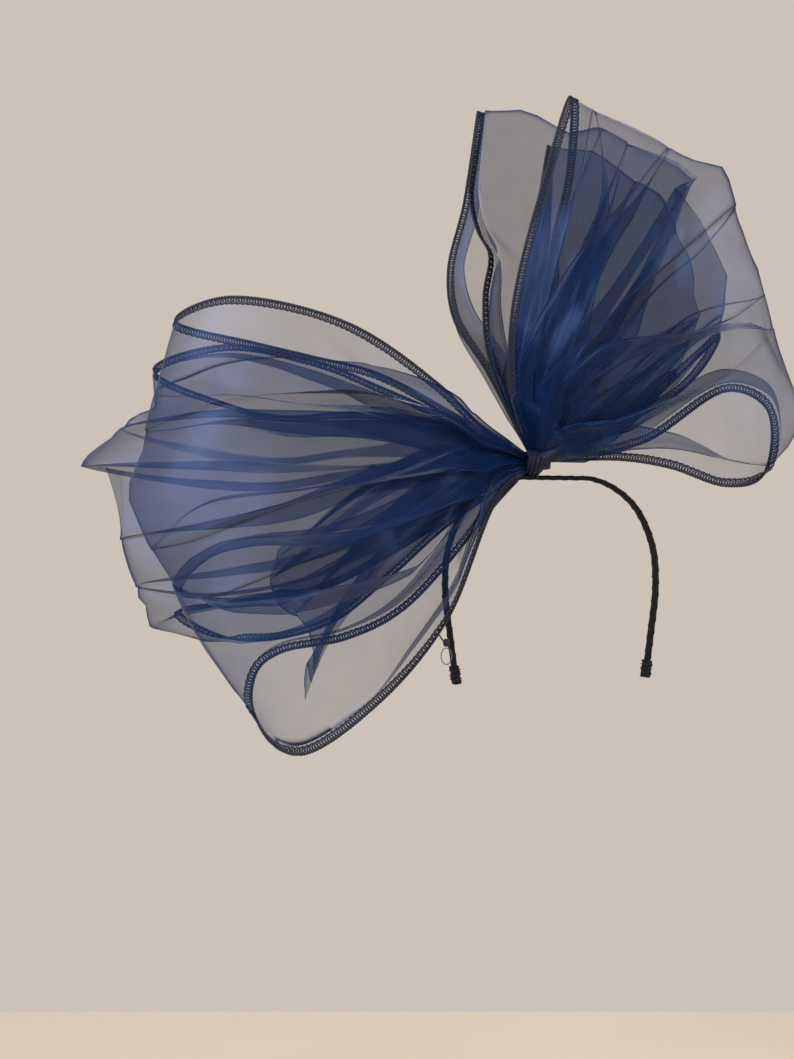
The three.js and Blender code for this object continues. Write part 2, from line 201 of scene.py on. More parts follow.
def tube(points, radius, sides=6):
    """Vertices and faces of a capped round tube along a list of points."""
    p = np.asarray(points, dtype=float)
    tangent = np.gradient(p, axis=0)
    tangent /= np.linalg.norm(tangent, axis=1)[:, None] + 1e-12
    side = np.cross(tangent[0], [0, 0, 1])
    if np.linalg.norm(side) < 0.1:
        side = np.cross(tangent[0], [0, 1, 0])
    sides_a = []
    for t in tangent:
        side = side - t * side.dot(t)
        side = side / (np.linalg.norm(side) + 1e-12)
        sides_a.append(side)
    sides_a = np.array(sides_a)
    sides_b = np.cross(tangent, sides_a)
    angle = np.arange(sides) * 2 * math.pi / sides
    r = np.broadcast_to(np.asarray(radius, dtype=float), (len(p),))[:, None, None]
    ring = (
        p[:, None]
        + r * np.cos(angle)[None, :, None] * sides_a[:, None]
        + r * np.sin(angle)[None, :, None] * sides_b[:, None]
    )
    faces = []
    count = len(p)
    for i in range(count - 1):
        here = i * sides
        after = here + sides
        for j in range(sides):
            k = (j + 1) % sides
            faces.append([here + j, here + k, after + k, after + j])
    faces.append(list(range(sides))[::-1])
    faces.append([(count - 1) * sides + j for j in range(sides)])
    return ring.reshape(-1, 3), faces


def merged(parts):
    """Several (vertices, faces) as one."""
    points = []
    faces = []
    for vertices, own in parts:
        base = sum(len(p) for p in points)
        points.append(vertices)
        faces.extend([[base + i for i in face] for face in own])
    return np.vstack(points), faces


def grid_faces(rows, columns):
    faces = []
    for i in range(rows - 1):
        for j in range(columns - 1):
            a = i * columns + j
            faces.append([a, a + 1, a + columns + 1, a + columns])
    return faces


# ---------------------------------------------------------------------------
# Materials
# ---------------------------------------------------------------------------
def principled(name, colour, roughness):
    material = bpy.data.materials.new(name)
    material.use_nodes = True
    shader = material.node_tree.nodes["Principled BSDF"]
    shader.inputs["Base Color"].default_value = (*colour, 1)
    shader.inputs["Roughness"].default_value = roughness
    return material, material.node_tree, shader


def math_node(tree, operation, first, second=None):
    node = tree.nodes.new("ShaderNodeMath")
    node.operation = operation
    for socket, value in ((0, first), (1, second)):
        if value is None:
            continue
        if isinstance(value, (int, float)):
            node.inputs[socket].default_value = value
        else:
            tree.links.new(value, node.inputs[socket])
    return node.outputs[0]


def two_colours(tree, factor, dark, light):
    mix = tree.nodes.new("ShaderNodeMix")
    mix.data_type = "RGBA"
    tree.links.new(factor, mix.inputs[0])
    mix.inputs[6].default_value = (*dark, 1)
    mix.inputs[7].default_value = (*light, 1)
    return mix.outputs[2]


def noise(tree, scale, detail=3.0, vector=None):
    node = tree.nodes.new("ShaderNodeTexNoise")
    node.inputs["Scale"].default_value = scale
    node.inputs["Detail"].default_value = detail
    if vector is not None:
        tree.links.new(vector, node.inputs["Vector"])
    return node.outputs["Fac"]


def organza_material():
    """Sheer navy organza: few threads cover the view square on, many at a slant."""
    cover = 0.31
    thread_pitch = 0.00055
    material, tree, shader = principled("organza", (0.03, 0.06, 0.16), 0.34)
    coordinates = tree.nodes.new("ShaderNodeUVMap")
    coordinates.uv_map = "cloth"
    uv = coordinates.outputs["UV"]
    split = tree.nodes.new("ShaderNodeSeparateXYZ")
    tree.links.new(uv, split.inputs[0])
    warp = math_node(tree, "SINE", math_node(tree, "MULTIPLY", split.outputs[0],
                                             2 * math.pi / thread_pitch))
    weft = math_node(tree, "SINE", math_node(tree, "MULTIPLY", split.outputs[1],
                                             2 * math.pi / thread_pitch))
    weave = math_node(tree, "MAXIMUM", warp, weft)
    cloud = noise(tree, 14.0, 4.0)
    slub = math_node(tree, "MULTIPLY", math_node(tree, "SUBTRACT", cloud, 0.5), 0.10)
    packed = tree.nodes.new("ShaderNodeAttribute")
    packed.attribute_name = "gather"
    spread = math_node(tree, "POWER", packed.outputs["Fac"], 3.0)
    threads = math_node(tree, "DIVIDE", math_node(tree, "MULTIPLY", weave, 0.035), spread)
    thread = math_node(tree, "ADD", threads, slub)
    solid = math_node(tree, "ADD", thread, cover)
    facing = tree.nodes.new("ShaderNodeLayerWeight")
    facing.inputs["Blend"].default_value = 0.5
    slant = math_node(tree, "MAXIMUM",
                      math_node(tree, "SUBTRACT", 1.0, facing.outputs["Facing"]), 0.12)
    gap = math_node(tree, "MAXIMUM", math_node(tree, "SUBTRACT", 1.0, solid), 0.02)
    layers = math_node(tree, "DIVIDE", packed.outputs["Fac"], slant)
    clear = math_node(tree, "POWER", gap, layers)
    tree.links.new(math_node(tree, "SUBTRACT", 1.0, clear), shader.inputs["Alpha"])
    # Base colour: random cloudy tone, darkened in the packed gathers as painted shade between the layers;
    # the dark end is near-black navy.
    shade = math_node(tree, "SUBTRACT", cloud,
                      math_node(tree, "MULTIPLY", packed.outputs["Fac"], 0.14))
    tree.links.new(two_colours(tree, math_node(tree, "ADD", shade, 0.15),
                               (0.001, 0.004, 0.016), (0.006, 0.027, 0.105)),
                   shader.inputs["Base Color"])
    shader.inputs["Sheen Weight"].default_value = 0.09
    shader.inputs["Sheen Roughness"].default_value = 0.3
    shader.inputs["Sheen Tint"].default_value = (0.05, 0.24, 0.9, 1)
    shader.inputs["Specular IOR Level"].default_value = 0.42
    shader.inputs["Specular Tint"].default_value = (0.30, 0.48, 1.0, 1)
    return material


def thread_material(name, dark, light, roughness):
    material, tree, shader = principled(name, dark, roughness)
    tree.links.new(two_colours(tree, noise(tree, 900.0, 2.0), dark, light),
                   shader.inputs["Base Color"])
    bump = tree.nodes.new("ShaderNodeBump")
    bump.inputs["Strength"].default_value = 0.5
    bump.inputs["Distance"].default_value = 0.0002
    tree.links.new(noise(tree, 2500.0, 2.0), bump.inputs["Height"])
    tree.links.new(bump.outputs["Normal"], shader.inputs["Normal"])
    return material


def woven_material(name, dark, light, pitch, roughness, sheen, specular=0.5):
    """A closely woven opaque fabric with a visible over-and-under weave."""
    material, tree, shader = principled(name, dark, roughness)
    coordinates = tree.nodes.new("ShaderNodeUVMap")
    coordinates.uv_map = "cloth"
    checks = tree.nodes.new("ShaderNodeTexChecker")
    checks.inputs["Scale"].default_value = 1 / pitch
    tree.links.new(coordinates.outputs["UV"], checks.inputs["Vector"])
    mottled = math_node(tree, "MULTIPLY", checks.outputs["Fac"], noise(tree, 400.0, 3.0))
    tree.links.new(two_colours(tree, mottled, dark, light), shader.inputs["Base Color"])
    bump = tree.nodes.new("ShaderNodeBump")
    bump.inputs["Strength"].default_value = 0.6
    bump.inputs["Distance"].default_value = 0.0002
    tree.links.new(checks.outputs["Fac"], bump.inputs["Height"])
    tree.links.new(bump.outputs["Normal"], shader.inputs["Normal"])
    shader.inputs["Sheen Weight"].default_value = sheen
    shader.inputs["Specular IOR Level"].default_value = specular
    return material


def plastic_material(name, colour, roughness):
    material, tree, shader = principled(name, colour, roughness)
    lighter = tuple(min(1.0, c * 1.6 + 0.01) for c in colour)
    tree.links.new(two_colours(tree, noise(tree, 300.0, 2.0), colour, lighter),
                   shader.inputs["Base Color"])
    return material


def floor_material():
    material, tree, shader = principled("floor", (0.50, 0.43, 0.34), 0.7)
    tree.links.new(two_colours(tree, noise(tree, 6.0, 3.0), (0.48, 0.41, 0.32),
                               (0.54, 0.47, 0.38)), shader.inputs["Base Color"])
    return material


# ---------------------------------------------------------------------------
# Organza loops
# ---------------------------------------------------------------------------
# Each loop's selvedges run from the knot along the front layer, round the fold and back to the
# knot. The fold line runs from the lower selvedge to the upper one. All are in millimetres.
# A main fold is a list of (share of the way along the strip, share of the chord from the lower
# selvedge, how far the cloth doubles back there).
LOOPS = {
    "left_front": {
        "width": STRIP_WIDTH, "belly": (16, 4), "seed": 11,
        "folds": 6, "smooth_outline": True,
        "main": [
            [(0, 0.52, 4), (0.06, 0.50, 12), (0.14, 0.46, 34), (0.22, 0.40, 40), (0.29, 0.30, 32),
             (0.35, 0.17, 14), (0.38, 0.12, 0.4), (1, 0.5, 0.4)],
            [(0, 0.8, 4), (0.08, 0.82, 14), (0.2, 0.80, 18), (0.3, 0.78, 2), (0.5, 0.75, 0.4),
             (1, 0.75, 6)],
            [(0, 0.25, 4), (0.1, 0.25, 8), (0.25, 0.22, 10), (0.4, 0.30, 24), (0.47, 0.36, 20),
             (0.5, 0.38, 2), (0.56, 0.38, 24), (0.7, 0.35, 30), (0.85, 0.3, 10), (1, 0.3, 4)],
        ],
        "top": [(-7, -6, 17), (-39, -24, 36), (-66, -38, 61), (-125, -52, 99), (-202, -46, 116),
                (-238, -20, 104),
                (-187, 2, 92), (-149, 3, 83), (-105, -4, 71), (-40, -12, 35), (-7, -4, 17)],
        "bottom": [(-7, -6, 5), (-28, -32, -14), (-62, -66, -91), (-104, -88, -140),
                   (-150, -90, -171),
                   (-172, -74, -165),
                   (-184, -62, -142), (-180, -58, -121), (-166, -56, -111),
                   (-125, -50, -103), (-88, -46, -84), (-26, -27, -14), (-7, -4, 5)],
        "fold": [(-172, -74, -165), (-194, -65, -131), (-231, -52, -78), (-268, -40, -9),
                 (-256, -33, 33), (-238, -20, 104)],
    },
    "left_rear": {
        "width": STRIP_WIDTH, "belly": (0, 10), "seed": 12,
        "folds": 6, "smooth_outline": True,
        "main": [
            [(0, 0.6, 4), (0.22, 0.58, 3), (0.34, 0.6, 16), (0.5, 0.62, 6), (0.62, 0.62, 14),
             (0.8, 0.6, 6), (1, 0.6, 4)],
        ],
        "top": [(-7, 2, 17), (-60, 14, 44), (-105, 24, 65), (-151, 34, 84), (-215, 42, 95),
                (-264, 56, 80),
                (-213, 82, 57), (-177, 86, 49), (-124, 76, 51), (-59, 38, 41), (-7, 5, 17)],
        "bottom": [(-7, 2, 6), (-60, 14, -32), (-100, 24, -68), (-141, 34, -99),
                   (-202, 42, -110),
                   (-245, 58, -90),
                   (-194, 82, -84), (-143, 78, -75), (-100, 62, -53), (-59, 36, -27),
                   (-7, 5, 6)],
        "fold": [(-245, 58, -90), (-266, 56, -104), (-277, 56, -67), (-306, 60, 11),
                 (-280, 58, 46), (-262, 57, 50), (-264, 56, 80)],
    },
    "left_inner": {
        "width": 0.15, "belly": (0, 0), "seed": 13,
        "folds": 4,
        "main": [
            [(0, 0.25, 3), (0.25, 0.2, 11), (0.42, 0.16, 15), (0.5, 0.14, 12), (0.6, 0.16, 14),
             (0.75, 0.2, 10), (1, 0.25, 3)],
        ],
        "top": [(-7, -2, 17), (-60, -2, 25), (-95, 0, 12), (-125, 2, -10), (-145, 4, -30),
                (-160, 12, -40),
                (-145, 20, -30), (-125, 18, -10), (-95, 14, 12), (-60, 5, 25), (-7, 1, 17)],
        "bottom": [(-7, -2, 7), (-44, -2, 3), (-84, 0, -34), (-112, 3, -72), (-140, 8, -112),
                   (-155, 12, -148),
                   (-140, 16, -112), (-112, 16, -72), (-84, 12, -30), (-44, 4, 4), (-7, 1, 7)],
        "fold": [(-155, 12, -148), (-149, 12, -116), (-152, 12, -100), (-172, 12, -84),
                 (-181, 12, -64), (-174, 12, -47), (-160, 12, -40)],
    },
    "right_front": {
        "width": STRIP_WIDTH, "belly": (16, 0), "seed": 21,
        "folds": 6, "smooth_outline": True,
        "main": [
            [(0, 0.5, 4), (0.03, 0.52, 8), (0.1, 0.55, 14), (0.25, 0.5, 22), (0.36, 0.42, 8),
             (0.45, 0.4, 0.4), (1, 0.4, 5)],
        ],
        "top": [(-6, -6, 20), (-19, -22, 62), (-19, -36, 110), (0, -48, 190),
                (19, -30, 248),
                (18, -14, 199), (10, -10, 163), (-1, -10, 100), (-6, -4, 20)],
        "bottom": [(9, -6, 12), (52, -26, 12), (82, -44, 6), (115, -56, -6),
                   (140, -44, 0),
                   (148, -24, 45), (126, -12, 58), (70, -9, 24), (9, -4, 12)],
        "fold": [(140, -44, 0), (163, -36, 28), (167, -33, 46), (147, -34, 112),
                 (124, -34, 179), (119, -34, 201), (98, -32, 207), (43, -30, 235),
                 (19, -30, 248)],
    },
    "right_inner": {
        "width": 0.22, "belly": (0, 2), "seed": 22,
        "folds": 5, "smooth_outline": True,
        "top": [(-6, -2, 20), (-19, -1, 63), (-17, 0, 96), (-6, 2, 145),
                (8, 8, 225),
                (-4, 15, 145), (-15, 12, 96), (-16, 6, 63), (-6, 1, 20)],
        "bottom": [(9, -2, 12), (45, -2, 22), (65, 0, 38), (80, 4, 54),
                   (95, 10, 70),
                   (82, 16, 62), (64, 13, 44), (44, 6, 28), (9, 1, 12)],
        "fold": [(95, 10, 70), (111, 10, 110), (105, 10, 150), (83, 9, 190), (40, 8, 222),
                 (8, 8, 225)],
    },
    "right_rear": {
        "width": STRIP_WIDTH, "belly": (0, 10), "seed": 23,
        "folds": 5, "smooth_outline": True,
        "main": [
            [(0, 0.35, 4), (0.1, 0.35, 10), (0.3, 0.35, 24), (0.5, 0.42, 6), (0.7, 0.4, 20),
             (0.9, 0.35, 8), (1, 0.35, 4)],
        ],
        "top": [(-6, 2, 20), (-24, 14, 61), (-33, 20, 92), (-34, 27, 128), (-30, 32, 156),
                (-38, 36, 173), (-43, 42, 197), (-41, 47, 222),
                (-37, 52, 259),
                (-46, 72, 198), (-57, 74, 152), (-54, 64, 117), (-32, 36, 76), (-6, 5, 20)],
        "bottom": [(9, 2, 12), (50, 14, 30), (75, 24, 45), (100, 32, 60), (120, 40, 80),
                   (132, 52, 100),
                   (118, 76, 86), (95, 76, 64), (70, 60, 46), (45, 36, 30), (9, 5, 12)],
        "fold": [(132, 52, 100), (140, 56, 147), (128, 60, 184), (102, 62, 222),
                 (50, 60, 249), (28, 57, 243), (-2, 56, 261), (-37, 52, 259)],
    },
}


def selvedge(points, fold_point, half):
    """half + 1 points out along the front layer and half more back along the rear one."""
    p = np.asarray(points, dtype=float) * MM
    whole = spline(p, 400)
    fold = np.argmin(np.linalg.norm(whole - np.asarray(fold_point) * MM, axis=1))
    front = resample(whole[:fold + 1], half + 1)
    back = resample(whole[fold:], half + 1)
    return np.vstack([front, back[1:]])


def guide_surface(loop, half, across):
    """Where the loop hangs before its folds: rows along the strip, columns across it."""
    upper = selvedge(loop["top"], loop["fold"][-1], half)
    lower = selvedge(loop["bottom"], loop["fold"][0], half)
    v = np.linspace(0, 1, across)[None, :, None]
    u = np.linspace(0, 1, 2 * half + 1)[:, None]
    surface = lower[:, None] * (1 - v) + upper[:, None] * v
    fold_line = cornered(np.asarray(loop["fold"], dtype=float) * MM, across)
    reach = (1 - np.abs(2 * u - 1)) ** 2.2
    surface += reach[:, :, None] * (fold_line - surface[half])[None]
    belly = np.sin(2 * math.pi * u) * np.sin(math.pi * v[:, :, 0])
    depth = np.where(belly > 0, loop["belly"][0], loop["belly"][1]) * MM
    surface[:, :, 1] -= belly * depth
    return surface


def grid_normals(p):
    along = np.gradient(p, axis=0)
    across = np.gradient(p, axis=1)
    normal = np.cross(along, across)
    return normal / (np.linalg.norm(normal, axis=2)[:, :, None] + 1e-12)


def on_guide(values, share):
    """Values of the guide grid at shares of its chord, a little beyond its edges too."""
    rows, columns = values.shape[:2]
    at = share * (columns - 1)
    low = np.clip(np.floor(at).astype(int), 0, columns - 2)
    part = (at - low)[:, :, None]
    row = np.arange(rows)[:, None]
    return values[row, low] * (1 - part) + values[row, low + 1] * part


def along_strip(stations, u):
    """Interpolates (place along the strip, value) pairs in straight runs."""
    places, values = np.array(list(stations), dtype=float).T
    return np.interp(u, places, values)


def fold_plan(loop, spare, chord, u, rng):
    """For each fold of the strip: its place on the chord, how far it doubles back, and how far
    it stands up compared with an ordinary one."""
    count = loop["folds"]
    centres = []
    weights = []
    standing = np.ones(count)
    for k in range(count):
        place = (k + 0.5 + rng.uniform(-0.32, 0.32)) / count
        drift = rng.uniform(-0.09, 0.09, 5)
        centres.append(place + along_strip(zip((0, 0.2, 0.5, 0.8, 1), drift), u))
        outer = rng.choice((0.02, 0.02, 0.5))
        weights.append(along_strip(
            ((0, 1), (0.12, rng.uniform(0.5, 1)), (0.3, rng.uniform(0.1, 1)), (0.5, outer),
             (0.7, rng.uniform(0.1, 1)), (0.88, rng.uniform(0.5, 1)), (1, 1)), u))
    weights = np.array(weights)
    back = weights / weights.sum(axis=0) * spare / 2
    for fold in loop.get("main", ()):
        centre = along_strip([(at, place) for at, place, _ in fold], u)
        depth = along_strip([(at, size * MM) for at, _, size in fold], u)
        nearest = int(np.argmin([abs(c[len(u) // 3] - centre[len(u) // 3]) for c in centres]))
        centres[nearest] = centre
        standing[nearest] = MAIN_FOLD_RISE
        taken = np.minimum(depth, spare / 2)
        others = [k for k in range(count) if k != nearest]
        dying = np.clip(np.abs(u - 0.5) / 0.14, 0.0, 1) if loop.get("smooth_outline") else 1
        left = np.maximum(spare / 2 - taken, 0) * dying
        share = weights[others] / weights[others].sum(axis=0)
        back[others] = share * left
        back[nearest] = np.maximum(depth, LEAST_FOLD)
    order = np.argsort([c.mean() for c in centres])
    back = np.clip(back[order], LEAST_FOLD, 0.34 * chord)
    centres = np.array(centres)[order]
    room = back / chord / 2 + 0.02
    return np.clip(centres, room, 1 - room), back, standing[order]


def folded_strip(loop, guide, along, width, rng):
    """The strip lying in folds along its guide. Returns its points and its cloth coordinates."""
    per_run = STEPS_PER_RUN
    rows = len(along)
    u = np.linspace(0, 1, rows)
    chord = np.linalg.norm(np.diff(guide, axis=1), axis=2).sum(axis=1)
    spare = np.maximum(width - chord, 0)
    centres, back, standing = fold_plan(loop, spare, chord, u, rng)
    middle = guide.mean(axis=1)
    from_knot = np.linalg.norm(middle - KNOT, axis=1)
    if width == STRIP_WIDTH:
        back = np.maximum(back * np.interp(from_knot, (0.05, 0.14), (1, 0.55)), LEAST_FOLD)
    count = len(centres)
    turns = [np.zeros(rows)]
    for centre, size in zip(centres, back):
        turns.append(centre * chord + size / 2)
        turns.append(centre * chord - size / 2)
    turns.append(chord)
    turns = np.array(turns)
    runs = np.diff(turns, axis=0)
    true = np.abs(runs) * (width / np.abs(runs).sum(axis=0))
    rise = np.sqrt(np.maximum(true ** 2 - runs ** 2, 0)) + 0.16 * np.abs(runs)
    room = np.interp(from_knot, (0, 0.012, 0.03, 0.06, 0.10, 0.16),
                     (0.0016, 0.0026, 0.007, 0.012, 0.016, 0.018))
    lift = np.zeros((2 * count + 2, rows))
    lean = rng.choice((-1, 1), count)
    for k in range(count):
        height = np.minimum((rise[2 * k] + rise[2 * k + 1]) / 4, room / 2) * standing[k]
        flat = np.clip(back[k] / 0.004, 0, 1)
        lift[2 * k + 1] = lean[k] * height * flat
        lift[2 * k + 2] = -lean[k] * height * flat
    place = []
    height = []
    cloth = []
    start = np.zeros(rows)
    fine = np.interp(from_knot, (0, 0.012, 0.03, 0.07, 0.12), (0.2, 0.5, 1, 0.6, 0)) * room * RIPPLE_SHARE
    for j in range(2 * count + 1):
        ends = per_run if j < 2 * count else per_run + 1
        for i in range(ends):
            t = i / per_run
            soft = 0.4 * t + 0.3 * (1 - math.cos(math.pi * t))
            place.append(turns[j] + runs[j] * soft)
            ripple = math.sin(4 * math.pi * t) * (1 if j % 2 else -1)
            edge = 0 if j in (0, 2 * count) else 1
            height.append(lift[j] + (lift[j + 1] - lift[j]) * t + fine * ripple * edge)
            cloth.append(start + true[j] * t)
        start = start + true[j]
    share = np.array(place).T / chord[:, None]
    points = on_guide(guide, share)
    normal = on_guide(grid_normals(guide), np.clip(share, 0, 1))
    points = points + normal * np.array(height).T[:, :, None]
    across = np.array(cloth).T
    return crumpled(points, normal, from_knot, along, across, rng), across


def crumpled(points, normal, from_knot, along, across, rng):
    """Broad unevenness and a few sharp creases, none at the knot and the selvedges."""
    rows, columns = points.shape[:2]
    wave = np.zeros((rows, columns))
    i = np.linspace(0, 1, rows)[:, None]
    j = across / across.max()
    for _ in range(CREASES):
        place = np.array([rng.uniform(0.15, 0.85) * along.max(),
                          rng.uniform(0.1, 0.9) * across.max()])
        turn = rng.uniform(0, math.pi)
        reach = rng.uniform(0.02, 0.06)
        da = along[:, None] - place[0]
        db = across - place[1]
        lengthwise = da * math.cos(turn) + db * math.sin(turn)
        sideways = -da * math.sin(turn) + db * math.cos(turn)
        fade = np.exp(-(lengthwise / reach) ** 2)
        wave += rng.choice((-1, 1)) * fade * np.exp(-np.abs(sideways) / CREASE_WIDTH)
    for _ in range(BROAD_WAVES):
        a, b = rng.uniform(2, 9, 2) * rng.choice((-1, 1), 2)
        wave += np.sin(2 * math.pi * (a * i + b * j * 0.5) + rng.uniform(0, 6.28)) / 5
    size = np.interp(from_knot, (0.02, 0.10), (0, WAVE_HEIGHT))[:, None]
    edge = np.clip(np.minimum(j, 1 - j) * 14, 0, 1)
    return points + normal * (wave * size * edge)[:, :, None]


def hem_mesh(name, edge, inside):
    """Overlocked edge: a plaited outer chain, an inner thread line and threads that cross."""
    length = np.linalg.norm(np.diff(edge, axis=0), axis=1).sum()
    per_stitch = 6
    stitches = int(length / STITCH_PITCH)
    count = stitches * per_stitch + 1
    line = resample(edge, count)
    within = resample(inside, count)
    tangent = np.gradient(line, axis=0)
    tangent /= np.linalg.norm(tangent, axis=1)[:, None]
    inward = within - line
    inward -= tangent * (inward * tangent).sum(axis=1)[:, None]
    kernel = np.ones(9) / 9
    inward = np.stack([np.convolve(np.pad(inward[:, k], 4, mode="edge"), kernel, "valid")
                       for k in range(3)], axis=1)
    inward /= np.linalg.norm(inward, axis=1)[:, None] + 1e-12
    normal = np.cross(tangent, inward)
    turn = np.arange(count) / per_stitch * 2 * math.pi

    def strand(out, lift):
        return line + inward * np.asarray(out)[:, None] + normal * np.asarray(lift)[:, None]

    parts = []
    for phase in (0, math.pi):
        wave = turn + phase
        parts.append(tube(strand(0.0005 + 0.0005 * np.cos(wave), 0.0004 * np.sin(wave)),
                          CHAIN_RADIUS, 5))
    parts.append(tube(strand(HEM_WIDTH + 0.00025 * np.cos(turn), 0.0002 * np.sin(turn)),
                      RAIL_RADIUS, 5))
    saw = np.abs(((np.arange(count) / per_stitch) % 1) * 2 - 1)
    for side in (-1, 1):
        lift = np.full(count, side * 0.00035)
        out = 0.0004 + (HEM_WIDTH - 0.0004) * (saw if side > 0 else 1 - saw)
        parts.append(tube(strand(out, lift), ZIGZAG_RADIUS, 4))
    points, faces = merged(parts)
    hem = new_mesh(name, points, faces)
    hem.data.materials.append(materials["thread"])
    return hem


def add_gather(piece, sheet, across):
    """Keeps at each vertex how many times closer than flat the cloth is packed there. The organza reads
    it for its opacity and for painted shade in its colour.
    """
    shown = np.linalg.norm(np.diff(sheet, axis=1), axis=2).sum(axis=1)
    packed = np.clip(across[:, -1] / shown, 1, 6)
    layer = piece.data.attributes.new("gather", "FLOAT", "POINT")
    layer.data.foreach_set("value", np.repeat(packed, sheet.shape[1]).astype(np.float32))


def make_loop(name, loop):
    side = name.split("_")[0]
    rng = np.random.default_rng(loop["seed"])
    guide = guide_surface(loop, LOOP_ROWS, GUIDE_COLUMNS)
    length = np.linalg.norm(np.diff(guide, axis=0), axis=2).sum(axis=0).mean()
    along = np.linspace(0, length, len(guide))
    width = loop["width"]
    sheet, across = folded_strip(loop, guide, along, width, rng)
    rows, columns = sheet.shape[:2]
    uvs = np.stack([np.repeat(along[:, None], columns, axis=1), across], axis=2)
    piece = new_mesh(f"{name}_organza", sheet.reshape(-1, 3), grid_faces(rows, columns),
                     uvs.reshape(-1, 2))
    add_gather(piece, sheet, across)
    piece.data.materials.append(materials["organza"])
    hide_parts(f"{name}_loop")
    hems = []
    if f"{name}_top_edge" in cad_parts:
        for end, edge, inner in (("top", -1, -3), ("bottom", 0, 2)):
            hem = hem_mesh(f"{name}_{end}_overlock", sheet[4:-4, edge], sheet[4:-4, inner])
            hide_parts(f"{name}_{end}_edge")
            hems.append(hem)
    reach = -1 if side == "left" else 1
    end = (reach * BLEND_TO, 0, KNOT[2] + (0 if side == "left" else BLEND_TO))
    for each in (piece, *hems):
        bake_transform(each)


# ---------------------------------------------------------------------------
# Knot
# ---------------------------------------------------------------------------
def make_knot():
    """A strip of closely woven fabric pulled round the gathers, its spare end tucked out."""
    steps = 72
    folds = 4
    rows = []
    uvs = []
    for i in range(steps + 1):
        angle = 2 * math.pi * i / steps
        row = []
        for j in range(33):
            t = j / 32
            pinch = 1 - 0.16 * math.cos(angle - 0.9) ** 2
            across = (t - 0.5) * KNOT_WIDTH * pinch
            ridge = math.sin(folds * 2 * math.pi * t + 1.2 * math.sin(angle)) * 0.00055
            crown = 0.0024 * (1 - (2 * t - 1) ** 4)
            bore_y, bore_z = KNOT_BORE
            y = (bore_y + crown + ridge) * math.cos(angle)
            z = (bore_z + crown + ridge) * math.sin(angle)
            row.append((across - KNOT_LEAN * z, y, KNOT[2] + z))
            uvs.append((angle * bore_y, across))
        rows.append(row)
    points = np.array(rows).reshape(-1, 3)
    wrap = new_mesh("knot_wrap_fabric", points, grid_faces(steps + 1, 33), uvs)
    weld(wrap)
    thicken(wrap, 0.0006)
    finish_piece(wrap, "knot", "knot_fabric", "crown", "knot_wrap")

    tail = []
    tail_uvs = []
    for i in range(15):
        t = i / 14
        width = 0.0042 * (1 - t) ** 0.8 + 0.0004
        for j in range(7):
            side = j / 3 - 1
            tail.append((
                0.003 + 0.0145 * t - side * width * 0.5,
                -0.0112 - 0.0085 * t - 0.0012 * math.cos(side * 2.4),
                0.0125 + 0.0105 * t + side * width,
            ))
            tail_uvs.append((0.017 * t, side * width))
    flap = new_mesh("knot_tail", tail, grid_faces(15, 7), tail_uvs)
    thicken(flap, 0.0005)
    finish_piece(flap, "knot", "knot_fabric", "crown")


def make_pinched_centre():
    """The gathered middles of the strips inside the knot: a bundle of deep flutes."""
    low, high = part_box("pinched_centre")
    middle = (low + high) / 2
    half = (high - low) / 2
    steps = 168
    rows = []
    for i in range(13):
        t = i / 12
        x = low.x + (high.x - low.x) * t
        shoulder = 1 - 0.10 * abs(2 * t - 1) ** 3
        row = []
        for j in range(steps):
            angle = 2 * math.pi * j / steps
            flute = 1 - 0.09 * (0.5 + 0.5 * math.cos(24 * angle + 1.4 * math.sin(3 * angle)))
            radius = shoulder * flute
            row.append((
                x,
                middle.y + half.y * radius * math.cos(angle),
                middle.z + half.z * radius * math.sin(angle),
            ))
        rows.append(row)
    faces = []
    for i in range(12):
        for j in range(steps):
            k = (j + 1) % steps
            faces.append([i * steps + j, i * steps + k, (i + 1) * steps + k, (i + 1) * steps + j])
    faces.append(list(range(steps)))
    faces.append([12 * steps + j for j in range(steps)][::-1])
    bundle = new_mesh("pinched_organza", np.array(rows).reshape(-1, 3), faces)
    finish_piece(bundle, "pinched", "organza", "crown", "pinched_centre")


def make_binding_thread():
    """Thread wound three times round the gathers, under the knot wrap."""
    low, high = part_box("binding_thread")
    middle = (low + high) / 2
    half = (high - low) / 2
    turns = 3
    t = np.linspace(0, 1, 181)
    angle = 2 * math.pi * turns * t
    radius = 0.00036
    path = np.stack([
        low.x + radius + (high.x - low.x - 2 * radius) * t,
        middle.y + (half.y - radius) * np.cos(angle),
        middle.z + (half.z - radius) * np.sin(angle),
    ], axis=1)
    thread = new_mesh("binding_thread_twist", *plied(path, radius, 0.003))
    finish_piece(thread, "thread", "edge_thread", "crown", "binding_thread")


def plied(path, radius, lay):
    """Two strands twisted round each other along a path."""
    run = np.concatenate([[0], np.cumsum(np.linalg.norm(np.diff(path, axis=0), axis=1))])
    line = resample(path, max(12, int(run[-1] / 0.0004)))
    tangent = np.gradient(line, axis=0)
    tangent /= np.linalg.norm(tangent, axis=1)[:, None]
    side = np.cross(tangent, [0.3, 0.2, 0.9])
    side /= np.linalg.norm(side, axis=1)[:, None]
    other = np.cross(tangent, side)
    twist = np.linspace(0, 2 * math.pi * run[-1] / lay, len(line))
    strands = []
    for phase in (0, math.pi):
        offset = side * np.cos(twist + phase)[:, None] + other * np.sin(twist + phase)[:, None]
        strands.append(tube(line + offset * radius * 0.45, radius * 0.58, 6))
    return merged(strands)


def make_tack_stitches():
    for name in ("tack_stitch_front", "tack_stitch_back"):
        low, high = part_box(name)
        middle = (low + high) / 2
        path = [(middle.x + 0.0004, middle.y, low.z + 0.0002),
                (middle.x, middle.y, middle.z),
                (middle.x - 0.0004, middle.y, high.z - 0.0002)]
        stitch = new_mesh(f"{name}_thread", *plied(spline(path, 20), 0.0005, 0.002))
        finish_piece(stitch, "thread", "edge_thread", "crown", name)


